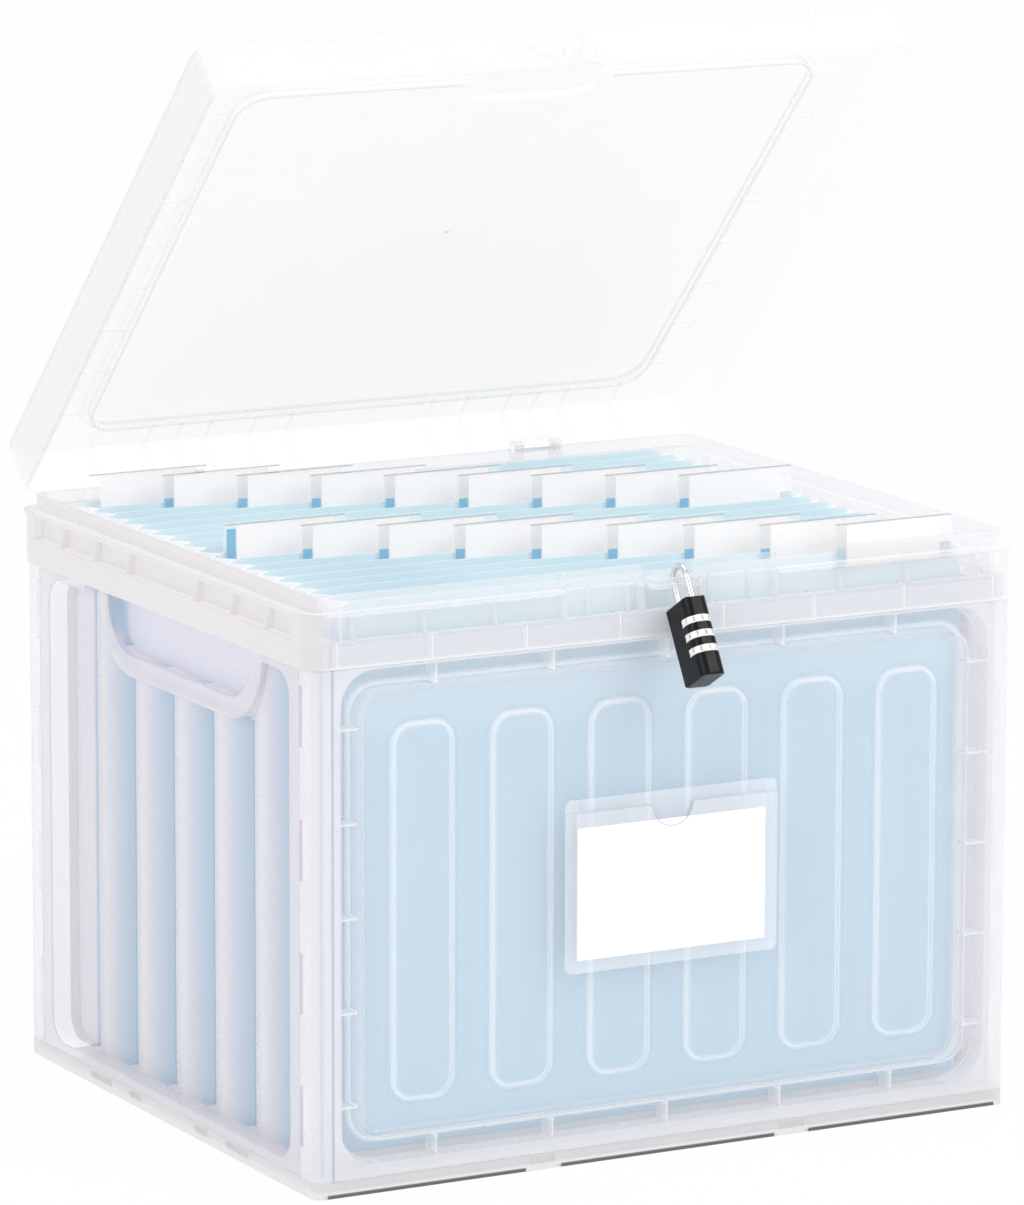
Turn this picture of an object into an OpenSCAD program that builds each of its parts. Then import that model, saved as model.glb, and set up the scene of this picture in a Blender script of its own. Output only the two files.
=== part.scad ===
// Portable file box: clear walls clipped between a base and a rim, hinged lid, expanding file, padlock.
// Millimetres. +Z is up, the front faces -Y, and the origin is the middle of the flat underside.

/* [Box] */
// Width across the rim
box_w = 370; // [330:1:420]
// Depth across the rim
box_d = 305; // [280:1:340]
// Height from the floor to the top of the rim's lip
box_h = 275; // [240:1:320]
// Radius of the rim's and lid's corners in plan
corner_r = 10; // [8:0.5:20]
// How far the short walls stand in from the rim's band
wall_in = 3; // [2.6:0.2:4]
// How far the long walls stand in from the rim's band
long_in = 0.3; // [0.2:0.1:4]
// Radius of the walls' and base's upright corners
wall_r = 5; // [3:0.5:7]
// Thickness of the moulded walls
skin = 2.2; // [1.6:0.1:2.8]
// Gap between a moving or loose piece and its neighbour
gap = 0.3; // [0.2:0.05:0.5]

/* [Base] */
// Height of the base's outer wall
base_h = 7.5; // [6:0.5:12]
// Thickness of the base's floor
floor_t = 2.5; // [2:0.1:3.5]
// Height of the tongue that holds the walls, above the base's wall
tongue_h = 9; // [5:0.5:14]
// Height of the floor's ribs
rib_h = 4.5; // [2:0.5:4.5]
// Thickness of small ribs and webs
rib_t = 1.6; // [1:0.1:2.2]

/* [Rim] */
// Height of the lip above the shelf that the lid rests on
lip_h = 7; // [5:0.5:10]
// How far the lip stands in from the band
lip_in = 5; // [4.6:0.1:6]
// Thickness of the lip
lip_t = 2; // [1.6:0.1:2.4]
// Height of the recessed stretch under the shelf
recess_h = 13.2; // [10:0.2:16]
// Height of the lower band
band_h = 12.3; // [9:0.1:18]
// Thickness of the shelf and the ledge
shelf_t = 2; // [1.6:0.1:2.4]
// How far the shelf stands proud of the band
shelf_out = 1; // [0.4:0.1:1.4]
// Length of the solid corner of the rim along each side
corner_len = 17; // [15:1:24]
// Spacing of the rim's gussets
gusset_pitch = 36; // [24:1:60]
// Width of each catch pocket in the front of the rim
pocket_w = 40; // [24:1:50]
// Half of the distance between the catch pockets
pocket_gap = 15; // [14:0.5:20]

/* [Wall panels] */
// Depth of the front and back panels
panel_t = 11.2; // [8:0.1:12]
// Width of a panel's border
border = 13; // [10:0.5:15]
// Width of the channel between the border and the field
channel = 10; // [6:0.5:14]
// How far the field stands back from the border's face
field_in = 1.9; // [1.7:0.1:2.4]
// Number of raised bars on a field
bar_count = 6; // [3:1:7]
// Spacing of the raised bars
bar_pitch = 50.6; // [36:0.2:52]
// Width of a raised bar
bar_w = 31; // [16:0.5:34]
// Space between a bar's end and the field's edge
bar_end = 16.5; // [8:0.5:30]
// Height of a bar above the field
bar_h = 1.6; // [0.8:0.1:1.7]
// Radius of the field's corners
field_r = 12; // [6:0.5:18]
// Spacing of the short ribs across the upright stretches of the channel
channel_pitch = 43.4; // [30:0.2:60]
// Spacing of the short ribs across its upper and lower stretches
channel_step = 60; // [40:1:80]
// Radius of a bar's corners
bar_r = 10; // [4:0.5:15]
// Depth of the corner post that returns along the side
post_d = 15.5; // [12:0.5:20]
// Height of each notch in the corner post
notch_h = 28; // [16:1:32]
// Depth of each notch in the corner post
notch_d = 3; // [2:0.2:4]

/* [Side panels] */
// Depth of a side panel
side_t = 17; // [16:0.5:20]
// Number of upright flutes
flute_count = 5; // [3:1:5]
// Spacing of the flutes
flute_pitch = 41.8; // [30:0.2:44]
// How far a flute bulges
flute_h = 4.5; // [2:0.5:5]
// Width of the frame round the flutes
side_border = 9.5; // [7:0.5:12]
// Radius of the recess's corners
side_r = 12; // [6:1:16]
// Half of the width of the handle cup
cup_w = 86; // [70:1:95]
// Depth of the handle cup below the rim
cup_h = 40; // [36:1:60]
// Radius of the cup's lower corners
cup_r = 35; // [20:1:36]
// Width of the cup's rounded edge
cup_edge = 10; // [6:0.5:12]
// How far the cup's edge stands in from the panel's face
cup_in = 7; // [4:0.5:8]

/* [Lid] */
// How far the lid stands open in the model
lid_open = 46; // [0:1:110]
// Height of the lid
lid_h = 25.35; // [22:0.05:32]
// Thickness of the lid's plate
lid_t = 2.4; // [1.8:0.1:3]
// Depth of the sunken middle
pan_h = 4; // [2:0.5:4.5]
// Outward lean of the sunken middle's walls
pan_flare = 2; // [1:0.5:3]
// Distance of the sunken middle from the sides
pan_side = 34; // [30:1:45]
// Distance of the sunken middle from the front
pan_front = 35; // [32:1:50]
// Distance of the sunken middle from the back
pan_back = 22; // [20:1:40]
// Radius of the sunken middle's corners
pan_r = 14; // [8:1:20]
// Spacing of the short ribs along the lid's sides
lid_rib_pitch = 32; // [24:0.5:50]
// Length of those ribs, from the sunken middle outwards
lid_rib_len = 14.5; // [8:0.5:20]

/* [Lid hinges] */
// Distance of each hinge from the middle
hinge_x = 98; // [70:1:120]
// How far the hinge's axis stands behind the rim's band
hinge_out = 4.9; // [4.9:0.1:7]
// Height of the hinge's axis above the shelf
hinge_up = 4.4; // [4.2:0.1:6]
// Radius of the hinge's knuckles
knuckle_r = 4.4; // [4:0.1:4.5]
// Radius of a hinge pin
pin_r = 2; // [1.5:0.1:2.4]
// Width of the lid's knuckle
knuckle_w = 17; // [10:0.5:24]
// Width of each of the rim's ears
ear_w = 4; // [3:0.5:6]
// Running clearance between a pin and its bore
run_gap = 0.05; // [0.03:0.01:0.1]

/* [Lock eye and notch] */
// Sideways place of the padlock
lock_x = 2; // [-4:0.5:4]
// Half of the eye tab's width
tab_w = 13; // [11:0.5:13.5]
// Thickness of the eye tab
tab_t = 4.2; // [3.4:0.1:4.4]
// How far the eye tab rises above the shelf
tab_up = 1.5; // [0.5:0.1:1.7]
// Depth of the lid's lock notch below its top
notch_t = 13; // [11:0.5:14]
// Depth of the lid's lock notch from the front
notch_back = 10.5; // [9:0.5:12]
// Half of the width of the lid's lock notch
notch_w = 14; // [11:0.5:16]

/* [Padlock] */
// Lean of the padlock, whose case rests against the rim's band
lock_tilt = 30; // [26:1:34]
// Radius of the shackle's wire
wire_r = 1.5; // [1.3:0.1:1.6]
// Radius of the shackle's bend, to the middle of its wire
bend_r = 6.5; // [6.3:0.1:6.7]
// Length of shackle that shows above the case, below its bend
shackle_up = 11; // [10.8:0.1:13]
// Length of the shackle's short leg inside the case
short_leg = 7; // [5:0.5:7]
// Length of the shackle's long leg inside the case
long_leg = 26; // [20:1:31]
// Width of the case
case_w = 20; // [19:0.2:20.4]
// Thickness of the case
case_t = 12.3; // [10:0.1:14]
// Height of the case
case_h = 37.5; // [34:0.5:44]
// Radius of the case's upright edges
case_r = 1.2; // [0.6:0.1:2]
// Radius of the case's front edges, which follow the dials
front_r = 4.2; // [2:0.1:4.6]
// Radius of a dial
dial_r = 6.6; // [6.4:0.1:6.8]
// Thickness of a dial
dial_t = 3.2; // [2.4:0.1:3.6]
// Spacing of the dials
dial_pitch = 7.1; // [5.6:0.1:7.4]
// Distance of the first dial below the case's top
dial_top = 9.2; // [9:0.1:10]
// Distance of the dials' spindle from the case's front edge
spindle_in = 5.6; // [5.4:0.1:6]
// Radius of the dials' spindle
spindle_r = 1.25; // [0.9:0.05:1.6]

/* [Label] */
// Width of the label sleeve
sleeve_w = 110; // [80:1:130]
// Height of the label sleeve
sleeve_h = 80.5; // [50:0.5:90]
// Height of the sleeve's lower edge above the floor
sleeve_z = 90.3; // [60:0.1:110]
// Width of the sleeve's welded edges
sleeve_edge = 5.5; // [2:0.1:7]
// Thickness of the sleeve's sheets
sheet_t = 0.7; // [0.5:0.1:0.9]
// Thickness of the label card
card_t = 0.5; // [0.3:0.1:0.7]
// Width of the label card
card_w = 98; // [60:1:98]
// Height of the label card
card_h = 61.5; // [40:0.5:68]
// Radius of the thumb notch
thumb_r = 10.4; // [5:0.2:12]

/* [Expanding file] */
// Number of sheets, with the two covers
sheet_count = 18; // [10:2:18]
// Thickness of a sheet
leaf_t = 0.8; // [0.5:0.1:1]
// Height of the sheets' upper edge below the lip
leaf_down = 5; // [3:0.5:20]
// Depth of the folds at the sides
fold_d = 9; // [5:0.5:12]
// Space between the file and the walls
file_gap = 2.5; // [2:0.1:4]

/* [Index tabs] */
// Width of an index tab at its top
tabs_w = 62; // [40:1:64]
// How far an index tab stands above its sheet
tabs_up = 13; // [8:0.5:14]
// How far an index tab reaches down its sheet
tabs_down = 8; // [4:0.5:12]
// Depth of an index tab
tabs_t = 2.2; // [1.8:0.1:2.6]
// Clear margin at each end of an index tab's card
tabs_margin = 6; // [3:0.5:10]
// Distance of the outermost index tabs from the file's edge
tabs_end = 5; // [2:0.5:20]

/* [Hidden] */
$fn = 48;
EPS = 0.01;
CLEAR = "#eef2f7";
BLUE = "#bfe0f2";
PALE = "#e6eef7";

// Heights of the rim's steps
shelf_z = box_h - lip_h;
ledge_z = shelf_z - recess_h;
band_z = ledge_z - band_h;
panel_top = ledge_z - shelf_t;
panel_h = panel_top - base_h;

// Outer faces of the walls, and of the lip
wall_x = box_w / 2 - wall_in;
wall_y = box_d / 2 - long_in;
lip_y = box_d / 2 - lip_in;

// The field of a front or back panel
field_w = 2 * (wall_x - border - channel);
field_z0 = base_h + border / 2 + channel;
field_z1 = band_z - channel - 1.5;
field_y = wall_y - field_in;
bar_z0 = field_z0 + bar_end;
bar_z1 = field_z1 - bar_end;

// The recess of a side panel
side_y = wall_y - post_d - gap;
side_z0 = base_h + side_border / 2;
side_z1 = band_z - side_border / 2;
web_x = wall_x - side_t + flute_h + skin;
cup_face = wall_x - cup_in;
cup_z = band_z - cup_h;

// The lid when shut, and the axis that it turns about
lid_z0 = shelf_z + gap;
lid_z1 = lid_z0 + lid_h;
hinge_y = box_d / 2 + hinge_out;
hinge_z = shelf_z + hinge_up;
pan_w = box_w - 2 * pan_side;
pan_y0 = pan_front - box_d / 2;
pan_y1 = box_d / 2 - pan_back;
pin_len = knuckle_w + 2 * (gap + ear_w);

// The lock eye: the padlock turns about the middle of its shackle's bend
tab_z = shelf_z + tab_up;
turn_z = tab_z - 1.3;
turn_y = shackle_up * sin(lock_tilt) - (case_w / 2) * cos(lock_tilt) - box_d / 2 - gap;
hole_r = wire_r + 1.2;
hole_y = turn_y + bend_r - 0.7;
tab_y = turn_y - 2.5;
lid_hole_y = hole_y + 1.6;
slot_w = 2 * wire_r + 7;

// The padlock's own frame has its origin at the bend's middle, with its case below
case_top = -shackle_up;
spindle_y = spindle_in - case_w / 2;

// The expanding file, between the walls
file_y = wall_y - panel_t - file_gap;
file_x = wall_x - side_t - file_gap - gap;
leaf_pitch = (2 * file_y - leaf_t) / (sheet_count - 1);
leaf_z0 = floor_t + rib_h + 1.2 + gap;
leaf_z1 = box_h - leaf_down;
leaf_w = 2 * (file_x - 2 * leaf_t);
row = sheet_count / 2;
tab_step = (leaf_w - 2 * tabs_end - tabs_w) / (row - 1);

// Rounded rectangle in plan, with true arcs
module rounded(w, d, r) {
    square([w - 2 * r, d], center = true);
    square([w, d - 2 * r], center = true);
    for (x = [-1, 1], y = [-1, 1])
        translate([x * (w / 2 - r), y * (d / 2 - r)])
            circle(r);
}

// Upright ring with a rounded outline
module ring(w, d, r, t, h) {
    linear_extrude(h)
        difference() {
            rounded(w, d, r);
            rounded(w - 2 * t, d - 2 * t, r - t);
        }
}

// Rounded block that grows by flare towards its top
module flared(w, d, r, h, flare) {
    for (x = [-1, 1], y = [-1, 1])
        translate([x * (w / 2 - r), y * (d / 2 - r), 0])
            cylinder(h, r, r + flare);
    rotate([90, 0, 90])
        linear_extrude(w - 2 * r, center = true)
            polygon([[-d / 2, 0], [d / 2, 0], [d / 2 + flare, h], [-d / 2 - flare, h]]);
    rotate([90, 0, 0])
        linear_extrude(d - 2 * r, center = true)
            polygon([[-w / 2, 0], [w / 2, 0], [w / 2 + flare, h], [-w / 2 - flare, h]]);
}

// A plate lying in X and Z, whose near face is at y and which reaches back by t
module upright(y, t) {
    translate([0, y + t, 0])
        rotate([90, 0, 0])
            linear_extrude(t)
                children();
}

// The outline of a panel's opening between two heights
module panel_outline(w, z0, z1, r) {
    translate([0, (z0 + z1) / 2])
        rounded(w, z1 - z0, r);
}

// One raised bar, standing out of the plane y = 0 towards -Y
module bar(w, z0, z1, h) {
    slope = h * 0.9;
    translate([0, -h, (z0 + z1) / 2])
        rotate([-90, 0, 0])
            flared(w - 2 * slope, z1 - z0 - 2 * slope, bar_r - slope, h, slope);
}

// What lies outside a rounded upright corner at the origin's side, out to both sides
module corner_waste(side, r, h) {
    linear_extrude(h)
        difference() {
            translate([side * (r + 1), -r - 1])
                square(2 * r + 2, center = true);
            circle(r);
        }
}

// A long wall: border, ribbed channel, field with bars and a notched post at each end
module long_wall() {
    inner_w = field_w + 2 * channel;
    channel_z0 = field_z0 - channel;
    channel_z1 = field_z1 + channel;
    back = panel_t - skin;
    difference() {
        union() {
            translate([-wall_x, -wall_y, base_h])
                cube([2 * wall_x, panel_t, panel_h]);
            for (side = [-1, 1])
                post(side);
        }
        // Channel in the front face
        upright(-wall_y - EPS, back + EPS)
            difference() {
                panel_outline(inner_w, channel_z0, channel_z1, field_r + channel / 2);
                panel_outline(field_w, field_z0, field_z1, field_r);
            }
        // Face of the field, and the hollow behind it
        upright(-wall_y - EPS, field_in + EPS)
            panel_outline(field_w - 2 * rib_t, field_z0 + rib_t, field_z1 - rib_t, field_r - rib_t);
        upright(-field_y + skin, panel_t)
            panel_outline(field_w - 2 * skin, field_z0 + skin, field_z1 - skin, field_r - skin);
        for (side = [-1, 1])
            translate([side * (wall_x - wall_r), wall_r - wall_y, base_h - 1])
                corner_waste(side, wall_r, panel_h + 2);
        // The rim's band goes round the top of the wall
        translate([0, 0, band_z - gap])
            ring(box_w + box_d, 2 * box_d, corner_r + box_d / 2, box_d / 2 + skin + gap, panel_h);
    }
    for (i = [0 : bar_count - 1])
        translate([(i - (bar_count - 1) / 2) * bar_pitch, -field_y + EPS, 0])
            bar(bar_w, bar_z0, bar_z1, bar_h);
    channel_ribs(inner_w, channel_z0, channel_z1);
}

// Short ribs across the channel of a long wall
module channel_ribs(inner_w, z0, z1) {
    count_z = floor((field_z1 - field_z0 - 2 * field_r) / channel_pitch);
    count_x = floor((field_w / 2 - field_r) / channel_step);
    mid_z = (field_z0 + field_z1) / 2;
    depth = panel_t - field_in - EPS;
    for (side = [-1, 1], i = [-count_z / 2 : count_z / 2])
        translate([side * (field_w + channel) / 2, field_in - wall_y + depth / 2, mid_z + i * channel_pitch])
            cube([channel + 2 * EPS, depth, rib_t], center = true);
    for (z = [z0 + channel / 2, z1 - channel / 2], i = [-count_x : count_x])
        translate([i * channel_step, field_in - wall_y + depth / 2, z])
            cube([rib_t, depth, channel + 2 * EPS], center = true);
}

// The corner post of a long wall, with the notches that take the side panel's clips
module post(side) {
    span = panel_h / 4;
    difference() {
        translate([side * (wall_x - skin / 2), post_d / 2 - wall_y, base_h + panel_h / 2])
            cube([skin, post_d, panel_h], center = true);
        for (i = [0 : 3])
            translate([side * (wall_x - skin / 2), post_d - wall_y, base_h + span * (i + 0.5) - 2])
                cube([2 * skin, 2 * notch_d, notch_h], center = true);
    }
}

module front_panel() {
    color(CLEAR) long_wall();
}

module back_panel() {
    color(CLEAR) mirror([0, 1, 0]) long_wall();
}

// Outline of the handle cup in Y and Z, smaller all round by e, and cut off at the height top
module cup_outline(e, top) {
    r = cup_r - e;
    y = cup_w - cup_r;
    z = cup_z + cup_r;
    for (side = [-1, 1])
        translate([side * y, z])
            circle(r);
    translate([-y, cup_z + e])
        square([2 * y, top - cup_z - e]);
    translate([-y - r, z])
        square([2 * (y + r), top - z]);
}

// A prism along X from x0 to x1, whose outline is drawn in Y and Z
module along_x(x0, x1) {
    translate([x0, 0, 0])
        rotate([90, 0, 90])
            linear_extrude(x1 - x0)
                children();
}

// Plan of the fluted web: a flat strip with arcs that bulge out
module flutes(h) {
    half = flute_pitch / 2;
    r = (half * half + flute_h * flute_h) / (2 * flute_h);
    x = web_x - flute_h;
    translate([0, 0, side_z0])
        linear_extrude(h)
            difference() {
                union() {
                    translate([x - skin, -side_y])
                        square([skin, 2 * side_y]);
                    intersection() {
                        for (i = [0 : flute_count - 1])
                            translate([web_x - r, (i - (flute_count - 1) / 2) * flute_pitch])
                                circle(r, $fn = 96);
                        translate([x - EPS, -flute_count * half])
                            square([flute_h + 1, 2 * flute_count * half]);
                    }
                }
                intersection() {
                    for (i = [0 : flute_count - 1])
                        translate([web_x - r - skin, (i - (flute_count - 1) / 2) * flute_pitch])
                            circle(r, $fn = 96);
                    translate([x - skin - 1, -flute_count * half])
                        square([flute_h + skin + 1, 2 * flute_count * half]);
                }
            }
}

// A short wall, drawn for the side +X: frame, fluted web and handle cup
module short_wall() {
    x0 = wall_x - side_t;
    difference() {
        union() {
            translate([x0, -side_y, base_h])
                cube([side_t, 2 * side_y, panel_h]);
            // The tongues that run in behind the corner posts
            translate([x0, panel_t + gap - wall_y, base_h])
                cube([side_t - skin - gap, 2 * (wall_y - panel_t - gap), panel_h]);
        }
        along_x(x0 - 1, wall_x + 1)
            difference() {
                translate([0, (side_z0 + side_z1) / 2])
                    rounded(2 * (side_y - side_border), side_z1 - side_z0, side_r);
                cup_outline(0, side_z1 + 1);
            }
        along_x(x0 + skin, wall_x + 1)
            cup_outline(cup_edge, panel_top + 1);
        along_x(cup_face, wall_x + 1)
            cup_outline(0, band_z);
    }
    difference() {
        flutes(side_z1 - side_z0);
        along_x(x0 - 1, wall_x)
            cup_outline(EPS, panel_top);
        for (side = [-1, 1])
            translate([x0 - 1, side > 0 ? side_y - side_border + EPS : -side_y - 1, 0])
                cube([side_t, side_border + 1, box_h]);
    }
}

module right_panel() {
    color(CLEAR) short_wall();
}

module left_panel() {
    color(CLEAR) mirror([1, 0, 0]) short_wall();
}

// Windows in the base's wall where the side panels clip in
module clip_windows() {
    for (side = [-1, 1], y = [-72, -35, 35, 72])
        translate([side * wall_x, y * box_d / 305, base_h / 2 + 0.8])
            cube([2 * floor_t + 2, abs(y) > 50 ? 22 : 13, base_h - 4.4], center = true);
    for (side = [-1, 1], x = [-66, 66])
        translate([x * box_w / 370, side * wall_y, base_h / 2 + 0.8])
            cube([13, 2 * floor_t + 2, base_h - 4.4], center = true);
}

module base_tray() {
    outer_w = 2 * wall_x;
    outer_d = 2 * wall_y;
    tongue_w = outer_w - 2 * (side_t + gap);
    tongue_d = outer_d - 2 * (panel_t + gap);
    color("#dfe3e8") {
        linear_extrude(floor_t)
            rounded(outer_w, outer_d, wall_r);
        difference() {
            ring(outer_w, outer_d, wall_r, floor_t, base_h);
            clip_windows();
        }
        ring(tongue_w, tongue_d, 3, rib_t, base_h + tongue_h);
        for (i = [-3 : 3])
            translate([i * tongue_w / 8, 0, floor_t + rib_h / 2 - EPS])
                cube([rib_t, tongue_d - rib_t, rib_h], center = true);
        for (i = [-2 : 2])
            translate([0, i * tongue_d / 6, floor_t + rib_h / 2 - EPS])
                cube([tongue_w - rib_t, rib_t, rib_h], center = true);
    }
}

// The gussets under the shelf along one side, where the wall's face is at y = 0 and out is -Y
module gusset_row(length, skip, shift) {
    count = floor((length / 2 - corner_len) / gusset_pitch - shift);
    foot = lip_in - 0.8;
    for (side = [-1, 1], i = [0 : count])
        if ((i + shift) * gusset_pitch > skip)
            translate([side * (i + shift) * gusset_pitch, 0, ledge_z - EPS])
                rotate([90, 0, 90])
                    linear_extrude(rib_t, center = true)
                        polygon([[EPS, 0], [-foot, 0], [-1.4, recess_h - shelf_t + 2 * EPS],
                                 [EPS, recess_h - shelf_t + 2 * EPS]]);
}

// The eye tab: a thick shelf with the hole for the padlock's shackle, and webs below it
module eye_tab() {
    difference() {
        translate([-tab_w, tab_y, tab_z - tab_t])
            cube([2 * tab_w, -lip_y - tab_y + EPS, tab_t]);
        translate([lock_x, hole_y, tab_z - tab_t - 1])
            cylinder(tab_t + 2, hole_r, hole_r);
        for (side = [-1, 1])
            translate([side * tab_w, tab_y, 0])
                rotate(45)
                    cube([3, 3, 3 * box_h], center = true);
    }
}

// The catch pockets on both sides of the eye tab
module pocket_webs() {
    lid_room = skin + 2 * gap;
    for (side = [-1, 1]) {
        translate([side * (pocket_gap + pocket_w) - rib_t / 2, -box_d / 2, ledge_z - EPS])
            cube([rib_t, lip_in + EPS, shelf_z - ledge_z + EPS]);
        translate([side * (pocket_gap + pocket_w) - rib_t / 2, lid_room - box_d / 2, shelf_z - EPS])
            cube([rib_t, lip_in - lid_room + EPS, lip_h + EPS]);
        translate([side * pocket_gap - rib_t / 2, -box_d / 2, ledge_z - EPS])
            cube([rib_t, lip_in + EPS, shelf_z - ledge_z + EPS]);
        for (f = [0.16, 0.68])
            translate([side * (pocket_gap + f * pocket_w), -lip_y, ledge_z - EPS])
                rotate([90, 0, 90])
                    linear_extrude(rib_t, center = true)
                        polygon([[EPS, 0], [-3, 0], [-1, recess_h], [EPS, recess_h]]);
    }
}

// The rim's ears at one hinge
module ears() {
    for (side = [-1, 1])
        translate([side * (knuckle_w / 2 + gap + ear_w / 2), 0, 0])
            difference() {
                union() {
                    translate([-ear_w / 2, hinge_y, hinge_z])
                        rotate([0, 90, 0])
                            cylinder(ear_w, knuckle_r, knuckle_r);
                    rotate([90, 0, 90])
                        linear_extrude(ear_w, center = true)
                            polygon([[box_d / 2 - EPS, ledge_z - 4], [box_d / 2 + hinge_out, ledge_z + 3],
                                     [hinge_y + knuckle_r, hinge_z], [hinge_y, hinge_z],
                                     [hinge_y - knuckle_r, hinge_z], [box_d / 2 + 0.6, shelf_z - EPS],
                                     [lip_y, shelf_z - EPS], [lip_y, ledge_z - EPS], [box_d / 2 - EPS, ledge_z - EPS]]);
                }
                translate([-ear_w, hinge_y, hinge_z])
                    rotate([0, 90, 0])
                        cylinder(2 * ear_w, pin_r + run_gap, pin_r + run_gap);
            }
}

module rim_frame() {
    lip_w = box_w - 2 * lip_in;
    lip_d = box_d - 2 * lip_in;
    lip_r = corner_r - lip_in;
    color(CLEAR) {
        translate([0, 0, band_z])
            ring(box_w, box_d, corner_r, skin, band_h);
        translate([0, 0, panel_top])
            ring(box_w, box_d, corner_r, lip_in + lip_t, shelf_t);
        difference() {
            translate([0, 0, panel_top])
                ring(lip_w, lip_d, lip_r, lip_t, box_h - panel_top);
            translate([0, -lip_y, tab_z + box_h / 2])
                cube([2 * tab_w, 4 * lip_t, box_h], center = true);
        }
        // The shelf, left out over the catch pockets
        difference() {
            translate([0, 0, shelf_z - shelf_t])
                ring(box_w + 2 * shelf_out, box_d + 2 * shelf_out, corner_r + shelf_out,
                     lip_in + shelf_out + EPS, shelf_t);
            translate([-pocket_gap - pocket_w, -box_d, shelf_z - shelf_t - 1])
                cube([2 * (pocket_gap + pocket_w), box_d - lip_y, shelf_t + 2]);
            for (side = [-1, 1])
                translate([side * hinge_x, box_d / 2 + shelf_out, shelf_z])
                    cube([pin_len + 1, 2 * shelf_out, 3 * shelf_t], center = true);
        }
        // Solid corners
        intersection() {
            translate([0, 0, ledge_z - EPS])
                ring(box_w, box_d, corner_r, lip_in + EPS, recess_h - EPS);
            for (x = [-1, 1], y = [-1, 1])
                translate([x * box_w / 2, y * box_d / 2, shelf_z])
                    cube([2 * corner_len, 2 * corner_len, 3 * recess_h], center = true);
        }
        translate([0, -lip_y, 0])
            gusset_row(box_w, pocket_gap + pocket_w, 0.5);
        translate([0, lip_y, 0])
            rotate(180)
                gusset_row(box_w, 0, 0);
        for (side = [-1, 1])
            translate([side * (box_w / 2 - lip_in), 0, 0])
                rotate(side * 90)
                    gusset_row(box_d, 0, 0);
        eye_tab();
        pocket_webs();
        for (side = [-1, 1])
            translate([side * hinge_x, 0, 0])
                ears();
    }
}

module hinge_pins() {
    color("#d5dae0")
        for (side = [-1, 1])
            translate([side * hinge_x - pin_len / 2, hinge_y, hinge_z])
                rotate([0, 90, 0])
                    cylinder(pin_len, pin_r, pin_r);
}

// The clear pocket on the front panel: back sheet, closed edges and a lower front sheet
module label_sleeve() {
    y = -wall_y;
    slot = card_t + 2 * gap;
    front_h = sleeve_h - 6;
    depth = 2 * sheet_t + slot;
    color("#dfeaf4")
        difference() {
            upright(y - depth, depth)
                panel_outline(sleeve_w, sleeve_z, sleeve_z + sleeve_h, 3);
            upright(y - sheet_t - slot, slot)
                translate([-sleeve_w / 2 + sleeve_edge, sleeve_z + sleeve_edge])
                    square([sleeve_w - 2 * sleeve_edge, sleeve_h]);
            upright(y - depth - 1, sheet_t + 1)
                translate([-sleeve_w / 2 - 1, sleeve_z + front_h])
                    square([sleeve_w + 2, sleeve_h]);
            upright(y - depth - 1, sheet_t + 1)
                translate([0, sleeve_z + front_h])
                    circle(thumb_r);
        }
}

module label_card() {
    color("white")
        translate([-card_w / 2, -wall_y - sheet_t - gap - card_t, sleeve_z + sleeve_edge + gap])
            cube([card_w, card_t, card_h]);
}

module file_base() {
    color(BLUE)
        translate([-file_x, -file_y, floor_t + rib_h])
            cube([2 * file_x, 2 * file_y, 1.2]);
}

// Sheet number i of the file, counted from the back
function leaf_y(i) = file_y - leaf_t - i * leaf_pitch;

module leaf(i) {
    upright(leaf_y(i), leaf_t)
        difference() {
            translate([-leaf_w / 2, leaf_z0])
                square([leaf_w, leaf_z1 - leaf_z0]);
            for (side = [-1, 1])
                translate([side * leaf_w / 2, leaf_z1])
                    rotate(45)
                        square(6, center = true);
        }
}

module file_front_cover() {
    color(BLUE) leaf(sheet_count - 1);
}

module file_back_cover() {
    color(BLUE) leaf(0);
}

module file_dividers() {
    color(BLUE)
        for (i = [1 : sheet_count - 2])
            leaf(i);
}

// The folded side of the file, drawn for the side +X
module gusset() {
    last = sheet_count - 1;
    mid = leaf_t / 2;
    outer = [for (i = [0 : last]) each concat([[file_x, leaf_y(i) + mid]],
             i < last ? [[file_x - fold_d, leaf_y(i) + mid - leaf_pitch / 2]] : [])];
    inner = [for (i = [len(outer) - 1 : -1 : 0]) [outer[i].x - 1.4 * leaf_t, outer[i].y]];
    translate([0, 0, leaf_z0])
        linear_extrude(leaf_z1 - 2 - leaf_z0)
            polygon(concat(outer, inner));
}

module file_gusset_right() {
    color(PALE) gusset();
}

module file_gusset_left() {
    color(PALE) mirror([1, 0, 0]) gusset();
}

// The middle of index tab i, whose row is stepped from left to right
function tab_x(i) = -leaf_w / 2 + tabs_end + tabs_w / 2 + (i % row) * tab_step;

// A clear holder on the front of sheet i, open at its top, and a little wider at its foot
module index_tab(i) {
    y = leaf_y(i) - tabs_t;
    z0 = leaf_z1 - tabs_down;
    z1 = leaf_z1 + tabs_up;
    foot = tabs_w / 2 + 1.3;
    wall = 0.6;
    translate([tab_x(i), 0, 0])
        difference() {
            upright(y, tabs_t)
                polygon([[-foot, z0], [foot, z0], [tabs_w / 2, z1], [-tabs_w / 2, z1]]);
            upright(y + wall, tabs_t - 2 * wall)
                translate([-tabs_w / 2 + wall, z0 + wall])
                    square([tabs_w - 2 * wall, z1 - z0]);
        }
}

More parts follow.
